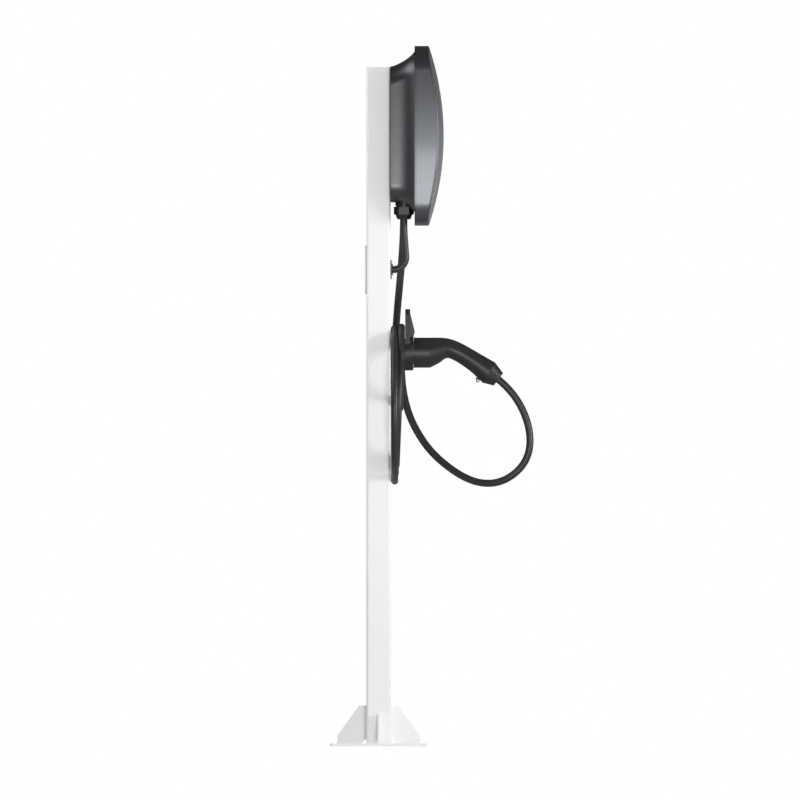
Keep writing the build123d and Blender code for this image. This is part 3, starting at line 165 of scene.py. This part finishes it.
def carried(line, outline):
    """Outline (k, 2) carried along a line (n, 3) with the least twist.

    p[i, j] = line[i] + side[i] outline[j, 0] + up[i] outline[j, 1], where side[i] is side[i - 1] made
    square to the line's direction at i, and up = direction x side.
    """
    line = np.asarray(line, float)
    step = np.gradient(line, axis=0)
    along = step / np.linalg.norm(step, axis=1, keepdims=True)
    side = np.empty_like(line)
    first = np.cross(along[0], (0.0, 0.0, 1.0) if abs(along[0][2]) < 0.9 else (0.0, 1.0, 0.0))
    side[0] = first / np.linalg.norm(first)
    for k in range(1, len(line)):
        carried_on = side[k - 1] - along[k] * np.dot(side[k - 1], along[k])
        side[k] = carried_on / np.linalg.norm(carried_on)
    up = np.cross(along, side)
    return line[:, None] + side[:, None] * outline[:, :1] + up[:, None] * outline[:, 1:]


def circle(radius, count):
    """Points of a circle: (radius cos(t), radius sin(t)), with t from 0 round to a full turn."""
    turn = np.linspace(0, 2 * math.pi, count, endpoint=False)
    return np.stack([radius * np.cos(turn), radius * np.sin(turn)], axis=1)


def tube_along(name, line, radius, count, material):
    """Round tube along a line: a circle carried along it, with a fan of triangles at each end."""
    rings = carried(line, circle(radius, count))
    rows = len(line)
    points = np.concatenate([rings.reshape(-1, 3), line[:1], line[-1:]])
    faces = grid_faces(rows, count)
    start, end = rows * count, rows * count + 1
    faces += [(start, (c + 1) % count, c) for c in range(count)]
    last = (rows - 1) * count
    faces += [(end, last + c, last + (c + 1) % count) for c in range(count)]
    return mesh_object(name, points, faces, material)


# ------------------------------------------------------------------ the charging cable's route, in mm
CABLE_D = 15.0
FRONT = -25.0
HOLSTER_Z = 811.2
HUB_R = 28.7
HUB_Y = -55.0
HUB_TOP = HOLSTER_Z + HUB_R
GLAND_X = 28.0
GLAND_Y = -52.3
COIL_GAP = 0.2
COIL_STEP = 18
COIL_START, COIL_END = 84, 360 * 4 + 48
# A turn that lies on another over the hub stands this much proud of touching it.
LAY_GAP = 2.4

DROP_ROUTE = [
    (GLAND_X, GLAND_Y, 1137.0),
    (GLAND_X, GLAND_Y, 1062.0),
    (GLAND_X + 14, GLAND_Y + 6.5, 974.0),
    (92.0, GLAND_Y + 15.5, 880.0),
    (128.0, GLAND_Y + 20.0, 786.0),
]
LOOP_ROUTE = [
    (82.0, -45.0, 828.0),
    (96.0, -46.5, 780.0),
    (88.0, -51.5, 720.0),
    (74.0, -71.0, 660.0),
    (52.0, -114.0, 597.0),
    (24.0, -190.0, 543.0),
    (6.0, -256.0, 541.0),
    (1.0, -310.0, 588.0),
    (0.0, -314.0, 658.0),
    (0.0, -277.5, 733.3),
    (0.0, -240.0, 761.6),
]


def coil_turns():
    """Turns that hang on the hub: half turns from the top down one side to the bottom, and up the other.

    At angle a, counted from the top, with s = (1 - cos(a in its half turn)) / 2:
    x = half width * lean * sin(a), y = y0 + (y1 - y0) s, z = z0 + (z1 - z0) s, from end 0 to end 1.
    lean = 1 + 0.014 sin(a / 2 + 0.6) makes no two turns alike.
    """
    r = CABLE_D / 2
    rear, near = FRONT - COIL_GAP - r, HUB_Y + COIL_GAP + r
    layer = HUB_TOP + r
    # Each end of a half turn: depth y, height z, half width x of the half turn that follows.
    ends = [
        (rear, layer, 150.0),
        (rear - 0.5, 545.0, 150.0),
        (rear, layer, 136.0),
        (rear - 2.0, 561.0, 136.0),
        (rear, layer + CABLE_D, 121.0),
        (rear - 3.5, 577.0, 121.0),
        (near, layer + LAY_GAP, 96.0),
        (-44.0, 696.0, 96.0),
        (near, layer + CABLE_D + LAY_GAP, 96.0),
        (-46.0, 700.0, 96.0),
    ]
    points = []
    for degrees in range(COIL_START, COIL_END, COIL_STEP):
        half = degrees // 180
        y0, z0, width = ends[half]
        y1, z1 = ends[half + 1][:2]
        a = math.radians(degrees)
        share = (1 - math.cos(math.radians(degrees % 180))) / 2
        z = z0 + (z1 - z0) * share
        lean = 1.0 + 0.014 * math.sin(a * 0.5 + 0.6)
        points.append((width * lean * math.sin(a), y0 + (y1 - y0) * share, z))
    return points


def nurbs_line(name, points_mm):
    """Points, in metres, read from the NURBS spline whose control points are given in millimetres."""
    data = bpy.data.curves.new(name, "CURVE")
    data.dimensions = "3D"
    data.resolution_u = 10
    spline = data.splines.new("NURBS")
    spline.points.add(len(points_mm) - 1)
    for point, (x, y, z) in zip(spline.points, points_mm):
        point.co = (x * MM, y * MM, z * MM, 1.0)
    spline.order_u = 3
    spline.use_endpoint_u = True
    curve = bpy.data.objects.new(name, data)
    bpy.context.scene.collection.objects.link(curve)
    bpy.context.view_layer.update()
    mesh = bpy.data.meshes.new_from_object(curve)
    line = np.array([v.co[:] for v in mesh.vertices])
    bpy.data.objects.remove(curve)
    bpy.data.meshes.remove(mesh)
    keep = np.concatenate([[True], np.linalg.norm(np.diff(line, axis=0), axis=1) > 1e-6])
    return line[keep]


def length_of(line):
    """Sum of the distances from each point to the next."""
    return float(np.linalg.norm(np.diff(line, axis=0), axis=1).sum())


# ------------------------------------------------------------------ shader node helpers
class Nodes:
    """Short way to add nodes to a tree and join them."""

    def __init__(self, tree):
        self.tree = tree

    def add(self, kind, **values):
        node = self.tree.nodes.new("ShaderNode" + kind)
        for key, value in values.items():
            setattr(node, key, value)
        return node

    def join(self, output, socket):
        self.tree.links.new(output, socket)

    def math(self, operation, a, b=None, clamp=False):
        node = self.add("Math", operation=operation, use_clamp=clamp)
        for socket, value in zip(node.inputs, (a, b)):
            if value is None:
                continue
            if isinstance(value, (int, float)):
                socket.default_value = value
            else:
                self.join(value, socket)
        return node.outputs[0]

    def noise(self, vector, scale, detail=2.0, roughness=0.5):
        node = self.add("TexNoise")
        node.inputs["Scale"].default_value = scale
        node.inputs["Detail"].default_value = detail
        node.inputs["Roughness"].default_value = roughness
        self.join(vector, node.inputs["Vector"])
        return node.outputs["Fac"]

    def remap(self, value, low, high, to_low, to_high):
        node = self.add("MapRange")
        self.join(value, node.inputs["Value"])
        for name, number in zip(("From Min", "From Max", "To Min", "To Max"), (low, high, to_low, to_high)):
            if isinstance(number, (int, float)):
                node.inputs[name].default_value = number
            else:
                self.join(number, node.inputs[name])
        return node.outputs["Result"]


def new_group(name, inputs, outputs):
    """Empty shader group with named sockets; returns it with its own input and output nodes."""
    tree = bpy.data.node_groups.new(name, "ShaderNodeTree")
    for label, kind, value in inputs:
        socket = tree.interface.new_socket(label, in_out="INPUT", socket_type="NodeSocket" + kind)
        socket.default_value = value
    for label, kind in outputs:
        tree.interface.new_socket(label, in_out="OUTPUT", socket_type="NodeSocket" + kind)
    nodes = Nodes(tree)
    return tree, nodes, tree.nodes.new("NodeGroupInput"), tree.nodes.new("NodeGroupOutput")


def make_mottle_group():
    """A colour varied by slow and fine noise, and a roughness that wanders about its value."""
    tree, n, source, sink = new_group(
        "mottle",
        [
            ("Colour", "Color", (0.5, 0.5, 0.5, 1)),
            ("Depth", "Float", 0.1),
            ("Scale", "Float", 6.0),
            ("Roughness", "Float", 0.5),
            ("Wander", "Float", 0.06),
        ],
        [("Colour", "Color"), ("Roughness", "Float")],
    )
    place = n.add("TexCoord").outputs["Object"]
    slow = n.add("TexNoise")
    n.join(place, slow.inputs["Vector"])
    n.join(source.outputs["Scale"], slow.inputs["Scale"])
    slow.inputs["Detail"].default_value = 4.0
    fine = n.noise(place, 900.0, 2.0)
    spread = n.math("ADD", n.math("MULTIPLY", slow.outputs["Fac"], 0.75), n.math("MULTIPLY", fine, 0.25))
    centred = n.math("SUBTRACT", spread, 0.5)
    gain = n.math("ADD", 1.0, n.math("MULTIPLY", centred, n.math("MULTIPLY", source.outputs["Depth"], 2.0)))
    scale = n.add("VectorMath", operation="SCALE")
    n.join(source.outputs["Colour"], scale.inputs[0])
    n.join(gain, scale.inputs["Scale"])
    n.join(scale.outputs[0], sink.inputs["Colour"])
    shift = n.math("MULTIPLY", centred, n.math("MULTIPLY", source.outputs["Wander"], 2.0))
    n.join(n.math("ADD", source.outputs["Roughness"], shift, clamp=True), sink.inputs["Roughness"])
    return tree


def make_grain_group():
    """Height of a moulded or coated surface: soft ripples of one size with fine grain of another."""
    tree, n, source, sink = new_group(
        "surface_grain",
        [("Ripple Scale", "Float", 120.0), ("Grain Scale", "Float", 1500.0), ("Grain Share", "Float", 0.5)],
        [("Height", "Float")],
    )
    place = n.add("TexCoord").outputs["Object"]
    ripple = n.add("TexNoise")
    ripple.inputs["Detail"].default_value = 1.0
    n.join(place, ripple.inputs["Vector"])
    n.join(source.outputs["Ripple Scale"], ripple.inputs["Scale"])
    grain = n.add("TexVoronoi")
    n.join(place, grain.inputs["Vector"])
    n.join(source.outputs["Grain Scale"], grain.inputs["Scale"])
    fine = n.math("MULTIPLY", grain.outputs["Distance"], source.outputs["Grain Share"])
    n.join(n.math("ADD", ripple.outputs["Fac"], fine), sink.inputs["Height"])
    return tree


def make_dust_group():
    """Mask of settled dust: faces that look up, broken by noise."""
    tree, n, source, sink = new_group(
        "settled_dust", [("Amount", "Float", 0.3), ("Scale", "Float", 40.0)], [("Mask", "Float")]
    )
    geometry = n.add("NewGeometry")
    split = n.add("SeparateXYZ")
    n.join(geometry.outputs["Normal"], split.inputs[0])
    upward = n.remap(split.outputs["Z"], 0.2, 1.0, 0.0, 1.0)
    place = n.add("TexCoord").outputs["Object"]
    cloud = n.add("TexNoise")
    cloud.inputs["Detail"].default_value = 6.0
    n.join(place, cloud.inputs["Vector"])
    n.join(source.outputs["Scale"], cloud.inputs["Scale"])
    patchy = n.remap(cloud.outputs["Fac"], 0.35, 0.7, 0.2, 1.0)
    mask = n.math("MULTIPLY", n.math("MULTIPLY", upward, patchy), source.outputs["Amount"], clamp=True)
    n.join(mask, sink.inputs["Mask"])
    return tree


def make_flake_group():
    """Metal flakes under a coat: tiny cells with their own brightness, as a multiplier about one."""
    tree, n, source, sink = new_group(
        "metal_flake", [("Scale", "Float", 2600.0), ("Contrast", "Float", 0.2)], [("Gain", "Float")]
    )
    place = n.add("TexCoord").outputs["Object"]
    cells = n.add("TexVoronoi")
    n.join(place, cells.inputs["Vector"])
    n.join(source.outputs["Scale"], cells.inputs["Scale"])
    split = n.add("SeparateColor")
    n.join(cells.outputs["Color"], split.inputs[0])
    centred = n.math("SUBTRACT", split.outputs[0], 0.5)
    n.join(n.math("ADD", 1.0, n.math("MULTIPLY", centred, source.outputs["Contrast"])), sink.inputs["Gain"])
    return tree


MOTTLE = make_mottle_group()
GRAIN = make_grain_group()
DUST = make_dust_group()
FLAKE = make_flake_group()
DUST_COLOUR = (0.42, 0.40, 0.37, 1)
WANDER = 0.05
BUMP_HEIGHT = 0.0002
COAT_ROUGHNESS = 0.1


def use_group(n, tree, **values):
    """Group node with its inputs set; an underscore stands for a space in an input's name."""
    node = n.add("Group", node_tree=tree)
    for label, value in values.items():
        node.inputs[label.replace("_", " ")].default_value = value
    return node


def finish_material(
    name,
    colour,
    roughness,
    metallic=0.0,
    depth=0.08,
    bump=0.1,
    ripple=120.0,
    grain=1500.0,
    dust=0.0,
    coat=0.0,
    flake=0.0,
):
    """Principled material with mottled colour and roughness, bumped grain, flakes under a coat, and dust."""
    paint = bpy.data.materials.new(name)
    paint.use_nodes = True
    n = Nodes(paint.node_tree)
    shader = paint.node_tree.nodes["Principled BSDF"]
    mottle = use_group(n, MOTTLE, Colour=(*colour, 1), Depth=depth, Roughness=roughness, Wander=WANDER)
    tone = mottle.outputs["Colour"]
    if flake:
        flakes = use_group(n, FLAKE, Contrast=flake)
        gain = n.add("VectorMath", operation="SCALE")
        n.join(tone, gain.inputs[0])
        n.join(flakes.outputs["Gain"], gain.inputs["Scale"])
        tone = gain.outputs[0]
    if dust:
        powder = use_group(n, DUST, Amount=dust)
        mix = n.add("Mix", data_type="RGBA")
        n.join(powder.outputs["Mask"], mix.inputs["Factor"])
        n.join(tone, mix.inputs["A"])
        mix.inputs["B"].default_value = DUST_COLOUR
        tone = mix.outputs["Result"]
    n.join(tone, shader.inputs["Base Color"])
    n.join(mottle.outputs["Roughness"], shader.inputs["Roughness"])
    relief = use_group(n, GRAIN, Ripple_Scale=ripple, Grain_Scale=grain)
    bumped = n.add("Bump")
    bumped.inputs["Strength"].default_value = bump
    bumped.inputs["Distance"].default_value = BUMP_HEIGHT
    n.join(relief.outputs["Height"], bumped.inputs["Height"])
    n.join(bumped.outputs["Normal"], shader.inputs["Normal"])
    shader.inputs["Metallic"].default_value = metallic
    shader.inputs["Coat Weight"].default_value = coat
    shader.inputs["Coat Roughness"].default_value = COAT_ROUGHNESS
    return paint


# ------------------------------------------------------------------ materials, one for each slot
MATERIALS = {
    "post_white_coat": finish_material(
        "white_powder_coat", (0.84, 0.845, 0.84), 0.45,
        depth=0.02, bump=0.12, ripple=420, grain=1600, dust=0.05,
    ),
    "housing_grey": finish_material(
        "housing_grey", (0.098, 0.101, 0.106), 0.36,
        metallic=0.9, depth=0.04, bump=0.04, ripple=300, flake=0.12,
    ),
    "cover_metallic": finish_material(
        "cover_metallic", (0.118, 0.123, 0.134), 0.38,
        metallic=0.9, depth=0.02, bump=0.015, flake=0.14, coat=0.15,
    ),
    "panel_gloss": finish_material(
        "panel_gloss", (0.37, 0.39, 0.395), 0.34,
        metallic=0.8, depth=0.02, bump=0.01, flake=0.08, coat=0.3,
    ),
    "light_pipe": finish_material("light_pipe", (0.78, 0.83, 0.85), 0.3, depth=0.02, bump=0.02),
    "seal_rubber": finish_material("seal_rubber", (0.028, 0.028, 0.03), 0.62, bump=0.2, ripple=500),
    "plate_dark": finish_material("plate_dark", (0.05, 0.052, 0.055), 0.45, bump=0.2, ripple=420, dust=0.15),
    "screw_steel": finish_material(
        "screw_steel", (0.58, 0.59, 0.6), 0.34, metallic=1.0, depth=0.12, bump=0.1
    ),
    "bracket_steel": finish_material(
        "bracket_steel", (0.55, 0.56, 0.58), 0.38, metallic=1.0, depth=0.15, bump=0.1
    ),
    "board_green": finish_material("board_green", (0.02, 0.15, 0.07), 0.35, bump=0.1),
    "component_dark": finish_material("component_dark", (0.045, 0.045, 0.05), 0.5, bump=0.15),
    "terminal_grey": finish_material("terminal_grey", (0.3, 0.31, 0.32), 0.5, bump=0.15),
    "core_insulation": finish_material("core_insulation", (0.25, 0.11, 0.05), 0.45, bump=0.1),
    "gland_black": finish_material(
        "gland_nylon", (0.012, 0.012, 0.013), 0.40, bump=0.1, ripple=260, dust=0.06
    ),
    "holster_black": finish_material(
        "holster_black", (0.014, 0.0145, 0.0145), 0.44, bump=0.12, ripple=300, grain=1300, dust=0.06
    ),
    "connector_black": finish_material(
        "connector_black", (0.014, 0.0145, 0.014), 0.42, bump=0.08, ripple=300, grain=1300, dust=0.06
    ),
    "contact_brass": finish_material("contact_metal", (0.74, 0.7, 0.58), 0.28, metallic=1.0),
    "cable_black": finish_material(
        "cable_sheath", (0.020, 0.020, 0.020), 0.42, bump=0.03, ripple=420, grain=1900, dust=0.05
    ),
}


def paint_cad_nodes():
    """Gives every carried-over node the material of its slot."""
    slots = {part["node"]: part["material_slot"] for part in frame["record"]["subparts"]}
    for name, obj in frame["nodes"].items():
        for slot in obj.material_slots:
            slot.material = MATERIALS[slots[name]]


paint_cad_nodes()


# ------------------------------------------------------------------ charging cable
def add_charging_cable():
    """One cable from the gland, round the hub and on to the connector.
    """
    route = DROP_ROUTE + coil_turns() + LOOP_ROUTE
    line = nurbs_line("charging_cable_line", route)
    cable = tube_along("charging_cable", line, CABLE_D / 2 * MM, 20, MATERIALS["cable_black"])
    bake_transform(cable)
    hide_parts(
        "charging_cable_drop",
        "charging_cable_coil_big",
        "charging_cable_coil_small",
        "charging_cable_loop",
    )
    print("cable length", round(length_of(line), 3))


add_charging_cable()
